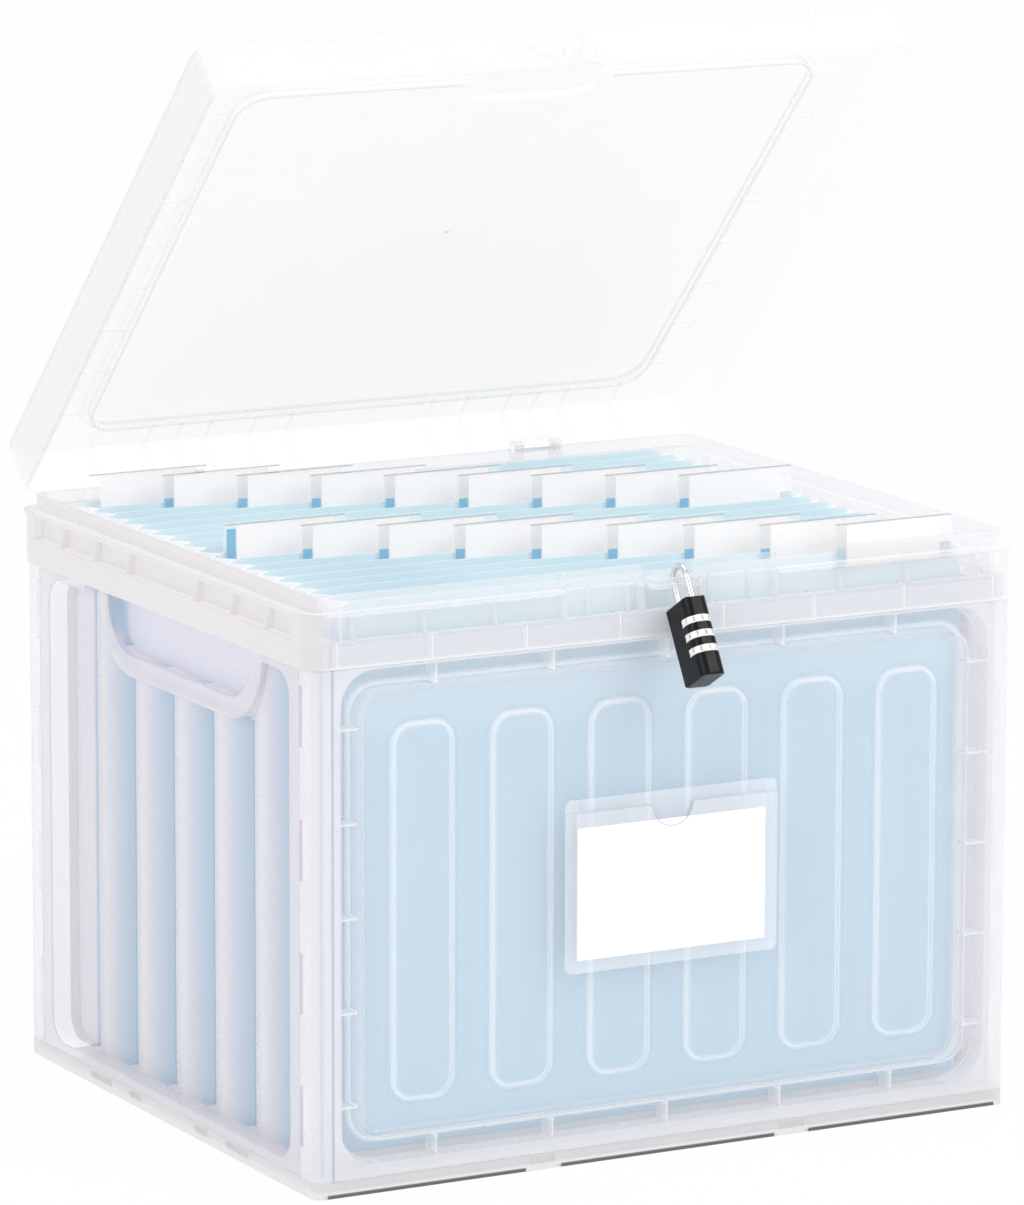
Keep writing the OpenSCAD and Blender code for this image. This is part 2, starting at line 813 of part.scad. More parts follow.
module index_card(i) {
    wall = 0.6;
    inner = tabs_t - 2 * wall;
    color("white")
        translate([tab_x(i) - tabs_w / 2 + tabs_margin, leaf_y(i) - tabs_t + wall + inner / 4,
                   leaf_z1 - tabs_down + wall])
            cube([tabs_w - 2 * tabs_margin, inner / 2, tabs_up + tabs_down - 2 * wall]);
}

module back_row_tabs() {
    color("#f2f5f8")
        for (i = [0 : row - 1])
            index_tab(i);
}

module front_row_tabs() {
    color("#f2f5f8")
        for (i = [row : sheet_count - 1])
            index_tab(i);
}

module back_row_cards() {
    for (i = [0 : row - 1])
        index_card(i);
}

module front_row_cards() {
    for (i = [row : sheet_count - 1])
        index_card(i);
}

// Everything in the lid is drawn shut, and then turned about the hinge
module opened() {
    translate([0, hinge_y, hinge_z])
        rotate([-lid_open, 0, 0])
            translate([0, -hinge_y, -hinge_z])
                children();
}

// A rib that runs under the lid's border and down the inside of its back wall
module back_rib(x) {
    y = box_d / 2 - skin;
    z = lid_z1 - lid_t;
    translate([x, 0, 0])
        rotate([90, 0, 90])
            linear_extrude(rib_t, center = true)
                polygon([[y + EPS, lid_z0 + 3], [y - 2, lid_z0 + 4], [y - 2, z - 5], [y - 5, z - 2],
                         [pan_y1 + pan_flare, z - 2], [pan_y1 + pan_flare, z + EPS], [y + EPS, z + EPS]]);
}

// The sunken middle of the lid, or the space above it
module pan(grow, depth) {
    mid_y = (pan_y0 + pan_y1) / 2;
    bay = notch_w + 22;
    difference() {
        translate([0, mid_y, lid_z1 - depth])
            flared(pan_w + 2 * grow, pan_y1 - pan_y0 + 2 * grow, pan_r + grow, depth + EPS, pan_flare);
        // The border comes in round the lock notch
        translate([0, pan_y0 - 4, lid_z1 - depth - 1])
            linear_extrude(depth + 3)
                rounded(2 * (bay - grow), 2 * (19 - grow), 12);
    }
}

// The notch for the padlock in the front of the lid: its block, before the notch is cut
module lock_block() {
    translate([-notch_w - 2, -box_d / 2 + EPS, lid_z1 - notch_t - lid_t])
        cube([2 * notch_w + 4, notch_back + 2, notch_t + lid_t - EPS]);
}

module lock_cuts() {
    top = notch_w;
    foot = notch_w - 3.5;
    translate([0, notch_back - box_d / 2, 0])
        rotate([90, 0, 0])
            linear_extrude(notch_back + 1)
                polygon([[-foot, lid_z1 - notch_t], [foot, lid_z1 - notch_t], [top, lid_z1 - 3],
                         [top, lid_z1 + 1], [-top, lid_z1 + 1], [-top, lid_z1 - 3]]);
    translate([lock_x, lid_hole_y, lid_z1 - notch_t - lid_t - 1])
        cylinder(lid_t + 2, hole_r, hole_r);
    translate([lock_x - slot_w / 2, -box_d / 2 - 1, lid_z0 - 1])
        cube([slot_w, skin + 1.5, lid_h - notch_t - lid_t + 1]);
    // Room for the rim's eye tab under the lid's front wall
    translate([-tab_w - 2 * gap, -box_d / 2 - 1, lid_z0 - 1])
        cube([2 * tab_w + 4 * gap, skin + 1.5, tab_z + 2 * gap - lid_z0 + 1]);
}

// The lid's knuckle at one hinge, with the web that joins it to the back wall
module lid_knuckle() {
    difference() {
        union() {
            translate([-knuckle_w / 2, hinge_y, hinge_z])
                rotate([0, 90, 0])
                    cylinder(knuckle_w, knuckle_r, knuckle_r);
            translate([-knuckle_w / 2, box_d / 2 - EPS, hinge_z - 2])
                cube([knuckle_w, hinge_out, knuckle_r + 2]);
        }
        translate([-knuckle_w, hinge_y, hinge_z])
            rotate([0, 90, 0])
                cylinder(2 * knuckle_w, pin_r + run_gap, pin_r + run_gap);
    }
}

module lid() {
    side_ribs = floor((pan_y1 - pan_y0) / lid_rib_pitch);
    grip_x = notch_w + 102;
    color(CLEAR)
        opened() {
            difference() {
                union() {
                    translate([0, 0, lid_z0])
                        ring(box_w, box_d, corner_r, skin, lid_h - EPS);
                    translate([0, 0, lid_z1 - lid_t])
                        linear_extrude(lid_t)
                            rounded(box_w, box_d, corner_r);
                    intersection() {
                        pan(skin, pan_h + lid_t);
                        translate([0, 0, lid_z1 - box_h / 2 - EPS])
                            cube([box_w - 2, box_d - 2, box_h], center = true);
                    }
                    lock_block();
                    for (side = [-1, 1])
                        translate([side * grip_x, 4 - box_d / 2, lid_z1 - 3])
                            cube([42, 8 - EPS, 6 - 2 * EPS], center = true);
                }
                pan(0, pan_h);
                lock_cuts();
                // Shallow finger grips in the front edge
                for (side = [-1, 1])
                    translate([side * grip_x, -box_d / 2, lid_z1])
                        cube([36, 6, 6], center = true);
            }
            for (side = [-1, 1], x = [38, 58, 143])
                back_rib(side * x * box_w / 370);
            for (side = [-1, 1], dx = [-16, 0, 16])
                back_rib(side * hinge_x + dx);
            for (side = [-1, 1], i = [0 : side_ribs])
                translate([side * (box_w / 2 - pan_side + pan_flare + lid_rib_len / 2),
                           (pan_y0 + pan_y1) / 2 + (i - side_ribs / 2) * lid_rib_pitch,
                           lid_z1 - lid_t - 0.8])
                    cube([lid_rib_len, rib_t, 1.6 + EPS], center = true);
            for (side = [-1, 1])
                translate([side * hinge_x, 0, 0])
                    lid_knuckle();
        }
}

// The padlock's frame: its origin is the middle of the bend, and -Z runs down its case
module in_lock() {
    translate([lock_x, turn_y, turn_z])
        rotate([-lock_tilt, 0, 0])
            children();
}

module shackle() {
    color("#d9dcdf")
        in_lock() {
            rotate([90, 0, 90])
                rotate_extrude(angle = 180)
                    translate([bend_r, 0])
                        circle(wire_r, $fn = 32);
            for (leg = [[-bend_r, short_leg], [bend_r, long_leg]])
                difference() {
                    translate([0, leg.x, -shackle_up - leg.y])
                        cylinder(shackle_up + leg.y, wire_r, wire_r);
                    // The notch that the latch holds
                    translate([0, leg.x, -shackle_up - short_leg + 2])
                        difference() {
                            cylinder(1.6, 2 * wire_r, 2 * wire_r);
                            translate([0, 0, -1])
                                cylinder(4, wire_r - 0.4, wire_r - 0.4);
                        }
                }
        }
}

module lock_case() {
    h = case_h;
    bevel = 0.7;
    color("#1b1b1d")
        in_lock()
            difference() {
                union() {
                    translate([0, 0, case_top - h + bevel])
                        linear_extrude(h - 2 * bevel)
                            rounded(case_t, case_w, case_r);
                    translate([0, 0, case_top - h])
                        flared(case_t - 2 * bevel, case_w - 2 * bevel, case_r, bevel + EPS, bevel);
                    translate([0, 0, case_top])
                        mirror([0, 0, 1])
                            flared(case_t - 2 * bevel, case_w - 2 * bevel, case_r, bevel + EPS, bevel);
                }
                translate([0, -bend_r, case_top - short_leg - gap])
                    cylinder(short_leg + 1, wire_r + run_gap, wire_r + run_gap);
                translate([0, bend_r, case_top - long_leg - gap])
                    cylinder(long_leg + 1, wire_r + run_gap, wire_r + run_gap);
                for (side = [-1, 1])
                    translate([side * (case_t / 2 - front_r), front_r - case_w / 2, case_top - h - 1])
                        corner_waste(side, front_r, h + 2);
                // Slots for the dials, open to the front and to both sides
                for (i = [0 : 2])
                    translate([0, spindle_y, case_top - dial_top - dial_t - gap / 2 - i * dial_pitch]) {
                        cylinder(dial_t + gap, dial_r + gap, dial_r + gap);
                        translate([-case_t, -case_w, 0])
                            cube([2 * case_t, case_w, dial_t + gap]);
                    }
                translate([0, spindle_y, case_top - dial_top - 2 * dial_pitch - dial_t - 2])
                    cylinder(2 * dial_pitch + dial_t + 3.4, spindle_r + run_gap, spindle_r + run_gap);
            }
}

module dial_spindle() {
    color("#b9bcc0")
        in_lock()
            translate([0, spindle_y, case_top - dial_top - 2 * dial_pitch - dial_t - 1.9])
                cylinder(2 * dial_pitch + dial_t + 3.2, spindle_r, spindle_r);
}

// One dial, with a shallow groove between each pair of its ten faces
module dial(i) {
    color("#eceded")
        in_lock()
            translate([0, spindle_y, case_top - dial_top - dial_t - i * dial_pitch])
                difference() {
                    cylinder(dial_t, dial_r, dial_r);
                    translate([0, 0, -1])
                        cylinder(dial_t + 2, spindle_r + run_gap, spindle_r + run_gap);
                    for (k = [0 : 9])
                        rotate(k * 36 + 18)
                            translate([dial_r + 0.25, 0, -1])
                                cylinder(dial_t + 2, 0.6, 0.6, $fn = 16);
                }
}

module dial_upper() {
    dial(0);
}

module dial_middle() {
    dial(1);
}

module dial_lower() {
    dial(2);
}

base_tray();
front_panel();
back_panel();
left_panel();
right_panel();
rim_frame();
hinge_pins();
label_sleeve();
label_card();
file_base();
file_front_cover();
file_back_cover();
file_dividers();
file_gusset_left();
file_gusset_right();
back_row_tabs();
front_row_tabs();
back_row_cards();
front_row_cards();
lid();
shackle();
lock_case();
dial_spindle();
dial_upper();
dial_middle();
dial_lower();
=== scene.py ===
"""Portable file box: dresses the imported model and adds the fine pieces, the studio and the camera."""

from __future__ import annotations

import logging
import math
from dataclasses import dataclass, field
from enum import Enum
from typing import Any

import bpy
from mathutils import Matrix, Vector


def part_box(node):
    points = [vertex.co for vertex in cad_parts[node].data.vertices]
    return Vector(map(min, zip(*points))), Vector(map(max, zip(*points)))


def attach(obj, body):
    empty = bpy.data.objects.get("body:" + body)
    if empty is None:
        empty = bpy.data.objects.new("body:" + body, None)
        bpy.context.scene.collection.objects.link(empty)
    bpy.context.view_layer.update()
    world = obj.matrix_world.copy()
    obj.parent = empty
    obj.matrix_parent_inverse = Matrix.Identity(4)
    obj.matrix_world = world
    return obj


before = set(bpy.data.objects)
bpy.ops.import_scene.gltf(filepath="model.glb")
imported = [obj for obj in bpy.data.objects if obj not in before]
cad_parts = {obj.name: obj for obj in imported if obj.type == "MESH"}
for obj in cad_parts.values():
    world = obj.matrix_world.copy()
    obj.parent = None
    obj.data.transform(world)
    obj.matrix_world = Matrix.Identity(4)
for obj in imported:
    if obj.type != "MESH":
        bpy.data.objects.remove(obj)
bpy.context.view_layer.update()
LOG = logging.getLogger("file_box")
MM = 0.001
Colour = tuple[float, float, float]
BLACK: Colour = (0.0, 0.0, 0.0)
# Painted glow that evens out shading: what full spread takes from a plastic's own colour, and what it gives
# back as glow
PAINTED_GLOW_DIM = 0.55
PAINTED_GLOW_LIGHT = 0.5


def srgb(red: int, green: int, blue: int) -> Colour:
    """Gives the linear colour of a display colour.

    Args:
        red: Red from 0 to 255.
        green: Green from 0 to 255.
        blue: Blue from 0 to 255.

    Returns:
        The three linear values, from 0 to 1.
    """

    def linear(value: float) -> float:
        """Turns one display value from 0 to 1 into a linear one."""
        return value / 12.92 if value <= 0.04045 else ((value + 0.055) / 1.055) ** 2.4

    return linear(red / 255), linear(green / 255), linear(blue / 255)


class Wire:
    """A shader value, on which plain arithmetic adds Math nodes."""

    def __init__(self, shader: "Shader", socket: Any) -> None:
        """Keeps the socket and the shader that owns it.

        Args:
            shader: The shader in which new nodes are made.
            socket: The output socket that carries the value.
        """
        self.shader = shader
        self.socket = socket

    def _math(self, operation: str, first: Any, second: Any = 0.0) -> "Wire":
        """Adds one Math node and gives its output."""
        return self.shader.node("ShaderNodeMath", {"operation": operation}, {0: first, 1: second}).out(0)

    def __add__(self, other: Any) -> "Wire":
        """Adds."""
        return self._math("ADD", self, other)

    __radd__ = __add__

    def __mul__(self, other: Any) -> "Wire":
        """Multiplies."""
        return self._math("MULTIPLY", self, other)

    __rmul__ = __mul__

    def __sub__(self, other: Any) -> "Wire":
        """Subtracts."""
        return self._math("SUBTRACT", self, other)

    def __rsub__(self, other: Any) -> "Wire":
        """Subtracts from a number."""
        return self._math("SUBTRACT", other, self)

    def __truediv__(self, other: Any) -> "Wire":
        """Divides."""
        return self._math("DIVIDE", self, other)

    def __pow__(self, other: float) -> "Wire":
        """Raises to a power."""
        return self._math("POWER", self, other)

    def clipped(self, low: float, high: float) -> "Wire":
        """Spreads the stretch between two values over 0 to 1 and cuts off the rest.

        Args:
            low: The value that becomes 0.
            high: The value that becomes 1.

        Returns:
            The spread value.
        """
        return self.shader.node(
            "ShaderNodeMapRange", {"clamp": True}, {"Value": self, "From Min": low, "From Max": high}
        ).out("Result")


def absolute(value: Wire) -> Wire:
    """Gives a value without its sign."""
    return value._math("ABSOLUTE", value)


def greater(first: Wire, second: Any) -> Wire:
    """Gives the larger of two values."""
    return first._math("MAXIMUM", first, second)


def smaller(first: Wire, second: Any) -> Wire:
    """Gives the smaller of two values."""
    return first._math("MINIMUM", first, second)


def fraction(value: Wire) -> Wire:
    """Gives what is left of a value past its whole number."""
    return value._math("FRACT", value)


def beyond(value: Wire, edge: float, soft: float = 0.0006) -> Wire:
    """Gives 1 where a value is past an edge and 0 before it."""
    return value.clipped(edge - soft / 2, edge + soft / 2)


def stripe(value: Wire, middle: float, half: float) -> Wire:
    """Gives 1 at a value's middle, fading to 0 over half a width on both sides."""
    return (1.0 - absolute(value - middle) / half).clipped(0.0, 1.0)


def off_row(value: Wire, pitch: float, shift: float = 0.5) -> Wire:
    """Gives the signed distance from the nearest of a row of evenly spaced places.

    Args:
        value: The coordinate along the row.
        pitch: The spacing of the places.
        shift: The part of a pitch by which the places stand off the multiples of the pitch.

    Returns:
        The distance, in the coordinate's own unit.
    """
    return (fraction(value / pitch + (0.5 - shift)) - 0.5) * pitch


def off_outline(across: Wire, along: Wire, half_across: float, half_along: float, radius: float) -> Wire:
    """Gives the distance from a rounded rectangle's outline, below 0 inside it.

    Args:
        across: The coordinate across, from the rectangle's middle.
        along: The coordinate along, from its middle.
        half_across: Half its width.
        half_along: Half its length.
        radius: The radius of its corners.

    Returns:
        The signed distance.
    """
    beside = absolute(across) - (half_across - radius)
    past = absolute(along) - (half_along - radius)
    outside = (greater(beside, 0.0) ** 2 + greater(past, 0.0) ** 2) ** 0.5
    return outside + smaller(greater(beside, past), 0.0) - radius


class Knot:
    """A node that has been placed, with its sockets at hand."""

    def __init__(self, shader: "Shader", made: Any) -> None:
        """Keeps the shader and the node."""
        self.shader = shader
        self.made = made

    def out(self, key: int | str) -> Wire:
        """Gives one of the node's outputs as a value."""
        return Wire(self.shader, self.made.outputs[key])


class Shader:
    """Builds the node tree of one material."""

    def __init__(self, name: str) -> None:
        """Makes an empty material.

        Args:
            name: The material's name.
        """
        self.material = bpy.data.materials.new(name)
        self.material.use_nodes = True
        self.tree = self.material.node_tree
        self.tree.nodes.clear()
        self.place = self.node("ShaderNodeTexCoord").out("Object")

    def node(
        self, kind: str, settings: dict[str, Any] | None = None, inputs: dict[int | str, Any] | None = None
    ) -> Knot:
        """Adds a node.

        Args:
            kind: The node's type.
            settings: Properties of the node, set first.
            inputs: Values or wires for its sockets.

        Returns:
            The node.
        """
        made = self.tree.nodes.new(kind)
        for key, value in (settings or {}).items():
            setattr(made, key, value)
        for key, value in (inputs or {}).items():
            socket = made.inputs[key]
            if isinstance(value, Wire):
                self.tree.links.new(value.socket, socket)
            elif isinstance(value, tuple) and len(value) == 3 and len(socket.default_value) == 4:
                socket.default_value = (*value, 1.0)
            else:
                socket.default_value = value
        return Knot(self, made)

    def noise(self, scale: float, detail: float = 3.0, stretch: Colour = (1.0, 1.0, 1.0)) -> Wire:
        """Gives a noise value over the surface.

        Args:
            scale: Grains per metre.
            detail: Octaves of finer noise.
            stretch: Scale along each axis.

        Returns:
            The noise, around 0.5.
        """
        spread = self.node("ShaderNodeMapping", None, {"Vector": self.place, "Scale": stretch}).out(0)
        inputs = {"Vector": spread, "Scale": scale, "Detail": detail, "Roughness": 0.55}
        return self.node("ShaderNodeTexNoise", None, inputs).out(0)

    def axis(self, index: int) -> Wire:
        """Gives one object coordinate in metres."""
        return self.node("ShaderNodeSeparateXYZ", None, {0: self.place}).out(index)

    def blend(self, mask: Any, first: Any, second: Any) -> Wire:
        """Mixes two colours by a mask."""
        return self.node(
            "ShaderNodeMix", {"data_type": "RGBA"}, {"Factor": mask, 6: first, 7: second}
        ).out(2)

    def bump(self, height: Wire, depth: float, strength: float, normal: Any = None) -> Wire:
        """Turns a height into a surface normal.

        Args:
            height: The height, from 0 to 1.
            depth: What 1 is worth, in metres.
            strength: How strongly it shows.
            normal: A normal to start from.

        Returns:
            The normal.
        """
        inputs: dict[int | str, Any] = {"Height": height, "Distance": depth, "Strength": strength}
        if normal is not None:
            inputs["Normal"] = normal
        return self.node("ShaderNodeBump", None, inputs).out(0)

    def surface(self, inputs: dict[int | str, Any]) -> bpy.types.Material:
        """Ends the material with a Principled shader.

        Args:
            inputs: Values or wires for the shader's sockets.

        Returns:
            The finished material.
        """
        body = self.node("ShaderNodeBsdfPrincipled", None, inputs)
        self.node("ShaderNodeOutputMaterial", None, {"Surface": body.out(0)})
        return self.material


@dataclass(frozen=True)
class ClearPlastic:
    """Moulded see-through plastic with a fine frosting, hazier where it is seen edge on."""

    name: str
    tint: Colour
    haze: float
    edge_haze: float
    roughness: float = 0.28
    rounding: float = 0.0007
    # Painted glow: light of its own that lifts the plastic's shading, standing in for light passing through
    # it
    glow: float = 0.03
    frost_grains: float = 1400.0
    flow_grains: float = 9.0

    def moulding(self, shader: Shader, haze: Wire, tone: Wire) -> tuple[Wire, Wire, Any]:
        """Varies the haze and the colour over the moulding.

        Args:
            shader: The material's shader.
            haze: The haze so far.
            tone: The colour so far.

        Returns:
            The haze and the colour of the finished surface, and how much painted glow evens out its shading,
            from 0 to 1.
        """
        return haze, tone, 0.0

    def make(self) -> bpy.types.Material:
        """Builds the material."""
        shader = Shader(self.name)
        frost = shader.noise(self.frost_grains, 2.0)
        flow = shader.noise(self.flow_grains, 3.0)
        facing = shader.node("ShaderNodeLayerWeight", None, {"Blend": 0.5}).out("Facing")
        plain_haze = self.haze + (self.edge_haze - self.haze) * facing**1.6 + (flow - 0.5) * 0.05
        plain_tone = shader.blend(flow.clipped(0.3, 0.7), self.tint, tuple(c * 0.98 for c in self.tint))
        # spread is painted glow: where it is set, part of the lit colour gives way to glow, which evens out
        # the shading
        haze, tone, spread = self.moulding(shader, plain_haze, plain_tone)
        rounded = shader.node("ShaderNodeBevel", {"samples": 4}, {"Radius": self.rounding}).out(0)
        return shader.surface(
            {
                "Base Color": shader.blend(spread * PAINTED_GLOW_DIM, tone, BLACK),
                "Roughness": self.roughness + (frost - 0.5) * 0.08 + (flow - 0.5) * 0.1,
                "Alpha": haze.clipped(0.0, 1.0),
                "IOR": 1.49,
                "Specular IOR Level": 0.5,
                "Normal": shader.bump(frost * 0.12 + flow * 0.88, 0.0001, 0.08, rounded),
                "Emission Color": shader.blend(spread * PAINTED_GLOW_LIGHT + self.glow, BLACK, tone),
                "Emission Strength": 1.0,
            }
        )


@dataclass(frozen=True)
class LongWallPlastic(ClearPlastic):
    """A long wall's plastic: milky border, clear channel with painted highlights on its ribs, field with bars
    edged by painted highlights and painted shadows.
    """

    # white is the colour of the painted highlights, shade the colour of the painted shadows and the groove's
    # painted shade
    white: Colour = srgb(253, 253, 255)
    shade: Colour = srgb(154, 182, 206)
    field_half: float = 0.159
    field_low: float = 0.024
    field_high: float = 0.231
    field_radius: float = 0.012
    channel: float = 0.010
    rib_pitch: float = 0.0434
    rib_step: float = 0.060
    groove: float = 0.1731
    bar_pitch: float = 0.0506
    bar_half: float = 0.0155
    bar_low: float = 0.0405
    bar_high: float = 0.2145
    bar_radius: float = 0.010
    rib_half: float = 0.0013
    groove_half: float = 0.0013
    # Painted highlight and painted shadow lines: each line's middle, measured outward from its outline, and
    # half its width
    bar_highlight_line: tuple[float, float] = (-0.0005, 0.0016)
    bar_shadow_line: tuple[float, float] = (0.0018, 0.0014)
    field_highlight_line: tuple[float, float] = (0.0014, 0.0022)

    def moulding(self, shader: Shader, haze: Wire, tone: Wire) -> tuple[Wire, Wire, Any]:
        """Makes the border milky, paints highlights on the edges of field, ribs and bars, painted shadows
        beside the bars and painted shade in the left groove.
        """
        across = shader.axis(0)
        half = (self.field_high - self.field_low) / 2
        height = shader.axis(2) - (self.field_high + self.field_low) / 2
        edge = off_outline(across, height, self.field_half, half, self.field_radius)
        border = beyond(edge, self.channel)
        inside = 1.0 - beyond(edge, -0.001)
        beside, past = beyond(absolute(across), self.field_half), beyond(absolute(height), half)
        side_ribs = stripe(off_row(height, self.rib_pitch, 0.0), 0.0, self.rib_half) * beside * (1.0 - past)
        end_ribs = stripe(off_row(across, self.rib_step, 0.0), 0.0, self.rib_half) * past * (1.0 - beside)
        ribs = (side_ribs + end_ribs) * (1.0 - border)
        bar_half = (self.bar_high - self.bar_low) / 2
        middle = (self.bar_high + self.bar_low - self.field_high - self.field_low) / 2
        beside_bar = off_row(across, self.bar_pitch)
        bar = off_outline(beside_bar, height - middle, self.bar_half, bar_half, self.bar_radius)
        # Painted highlight along each bar's crest, and painted shadow just outside it
        bar_highlight = stripe(bar, *self.bar_highlight_line) * inside * 0.9
        bar_shadow = stripe(bar, *self.bar_shadow_line) * inside
        # Painted shade in the left groove, lifted a little by painted glow
        groove_shade = stripe(0.0 - across, self.groove, self.groove_half)
        # white gathers the painted highlights on the bars, the field's lip and the ribs; dark gathers the
        # painted shadows and the groove's painted shade
        white = greater(greater(bar_highlight, stripe(edge, *self.field_highlight_line)), ribs * 0.8)
        dark = greater(bar_shadow * 0.35, groove_shade)
        toned = shader.blend(dark, shader.blend(white, tone, self.white), self.shade)
        return haze + border * 0.3 + white * 0.34 + dark * 0.24, toned, groove_shade * 0.3


@dataclass(frozen=True)
class FlutedPlastic(ClearPlastic):
    """A short wall's plastic: painted blue shade along one flank of each flute, and the cup is lavender."""

    # blue is the file's blue seen through the wall, painted as shade along the flutes and on the cup's wall;
    # line is painted shade in the grooves and the gutter; white is a painted highlight on the step
    blue: Colour = srgb(176, 203, 223)
    line: Colour = srgb(158, 187, 212)
    lavender: Colour = srgb(220, 221, 233)
    white: Colour = srgb(253, 253, 253)
    flute_pitch: float = 0.0418
    web: float = 0.1722
    half_width: float = 0.1045
    frame_face: float = 0.1812
    cup_back: float = 0.1678
    cup_half: float = 0.0865
    cup_low: float = 0.2027
    cup_wall_from: float = 0.070
    cup_wall_to: float = 0.0775
    cup_wall_low: float = 0.212
    cup_wall_face: float = 0.1748
    cup_wall_blend: tuple[float, float] = (0.004, 0.006)
    band_from: float = 0.62
    groove_shade_half: float = 0.001
    gutter_half: float = 0.0045

    def moulding(self, shader: Shader, haze: Wire, tone: Wire) -> tuple[Wire, Wire, Any]:
        """Paints blue shade along the flutes and in their grooves, a highlight on the step behind them, shade
        in the gutter and on the cup's wall, and lavender in the cup.
        """
        outward, along, height = absolute(shader.axis(0)), shader.axis(1), shader.axis(2)
        in_cup = (
            (1.0 - beyond(absolute(along), self.cup_half))
            * beyond(height, self.cup_low)
            * (1.0 - beyond(outward, self.cup_back))
        )
        # Painted shade on one wall of the cup
        rear_blend, low_blend = self.cup_wall_blend
        cup_wall = beyond(along, self.cup_wall_from, rear_blend) * (1.0 - beyond(along, self.cup_wall_to))
        cup_wall = cup_wall * beyond(height, self.cup_wall_low, low_blend)
        cup_wall = cup_wall * (1.0 - beyond(outward, self.cup_wall_face))
        on_web = (1.0 - beyond(outward, self.web)) * (1.0 - in_cup)
        within = 1.0 - beyond(absolute(along), self.half_width)
        # Painted shade: blue gathers along one flank of each flute, darkest at the groove between flutes
        phase = fraction(along / self.flute_pitch + 0.5)
        band = (self.band_from - phase).clipped(0.0, 0.6) * on_web * within
        groove_shade = stripe(off_row(along, self.flute_pitch), 0.0, self.groove_shade_half) * on_web * within
        # Painted shade in the gutter, and a painted highlight on the step behind it
        gutter = stripe(along, self.half_width, self.gutter_half) * (1.0 - beyond(outward, self.web))
        raised = beyond(outward, self.web) * (1.0 - beyond(outward, self.frame_face))
        step = beyond(along, self.half_width) * raised
        banded = shader.blend(groove_shade * 0.8, shader.blend(band * 0.8, tone, self.blue), self.line)
        cup = shader.blend(cup_wall * 0.8, shader.blend(in_cup, banded, self.lavender), self.blue)
        toned = shader.blend(gutter, shader.blend(step, cup, self.white), self.line)
        thick = haze + on_web * 0.1 + in_cup * 0.34 + step * 0.45 + gutter * 0.2
        # Painted glow lifts the cup and the step
        return thick, toned, in_cup * 0.3 + step * 0.4


@dataclass(frozen=True)
class RimPlastic(ClearPlastic):
    """The rim's plastic: milky along its left side, clear elsewhere, with painted highlights where its edges
    are thick and painted glow on its sides.
    """

    white: Colour = srgb(253, 253, 254)
    # milk goes on the left side only, where it stands in for light the plastic scatters there and hides the
    # shading of its recess; white is the colour of the painted highlights
    milk: Colour = srgb(229, 226, 227)
    side: float = 0.176
    side_blend: float = 0.006
    ledge: float = 0.2546
    rib_first: float = 0.027
    rib_pitch: float = 0.048
    rib_half: float = 0.0013
    band_edge: float = 0.2430
    shelf_edge: float = 0.2674
    edge_half: float = 0.0012

    def moulding(self, shader: Shader, haze: Wire, tone: Wire) -> tuple[Wire, Wire, Any]:
        """Makes the left side milky, paints highlights on the band's ribs and the thick edges, and evens out
        both sides' shading with painted glow.
        """
        across, height = shader.axis(0), shader.axis(2)
        side = beyond(0.0 - across, self.side, self.side_blend)
        right = beyond(across, self.side, self.side_blend)
        beside_rib = off_row(absolute(across) - self.rib_first, self.rib_pitch, 0.0)
        ribs = stripe(beside_rib, 0.0, self.rib_half)
        ribs = ribs * (1.0 - beyond(height, self.ledge))
        low_edge = stripe(height, self.band_edge, self.edge_half)
        edges = greater(low_edge, stripe(height, self.shelf_edge, self.edge_half) * 0.6)
        # Painted highlights on the ribs and the thick edges
        white = greater(ribs * 0.7, edges)
        toned = shader.blend(white * (1.0 - side), shader.blend(side, tone, self.milk), self.white)
        # Painted glow evens out the shading of both sides, most on the left
        return haze + side * 0.42 + white * 0.3 * (1.0 - side), toned, side * 0.95 + right * 0.8


@dataclass(frozen=True)
class LidPlastic(ClearPlastic):
    """The lid's plastic: very clear, with a milky left side, painted glow on both sides and a painted grey
    shade line round its sunken middle.
    """

    # line is the colour of the painted shade line round the sunken middle; milk goes on the left side only,
    # standing in for light the plastic scatters there
    line: Colour = srgb(196, 198, 201)
    milk: Colour = srgb(228, 227, 228)
    tilt: float = math.radians(46)
    hinge: tuple[float, float] = (0.1574, 0.2724)
    side: float = 0.1828
    pan_middle: float = 0.0065
    pan_half: tuple[float, float] = (0.151, 0.124)
    pan_radius: float = 0.014
    bay_half: float = 0.040
    bay_from: float = -0.095
    pan_line: tuple[float, float] = (0.0008, 0.0011)
    slope_from: float = 0.0012
    slope_to: float = 0.0062

    def moulding(self, shader: Shader, haze: Wire, tone: Wire) -> tuple[Wire, Wire, Any]:
        """Makes the left side and the middle's sloped edge milky, paints a grey shade line round the middle
        and lifts both sides with painted glow.
        """
        across = shader.axis(0)
        back, up = shader.axis(1) - self.hinge[0], shader.axis(2) - self.hinge[1]
        along = back * math.cos(self.tilt) - up * math.sin(self.tilt) + (self.hinge[0] - self.pan_middle)
        edge = off_outline(across, along, *self.pan_half, self.pan_radius)
        bay = (1.0 - beyond(absolute(across), self.bay_half)) * (1.0 - beyond(along, self.bay_from))
        # Painted shade line round the sunken middle
        line = stripe(edge, *self.pan_line) * (1.0 - bay)
        slope = beyond(edge, self.slope_from) * (1.0 - beyond(edge, self.slope_to, 0.0012)) * (1.0 - bay)
        side, right = beyond(0.0 - across, self.side), beyond(across, self.side)
        toned = shader.blend(line, shader.blend(side, tone, self.milk), self.line)
        # Painted glow lifts both sides
        return haze + side * 0.26 + slope * 0.1 + line * 0.22, toned, side * 0.4 + right * 0.5


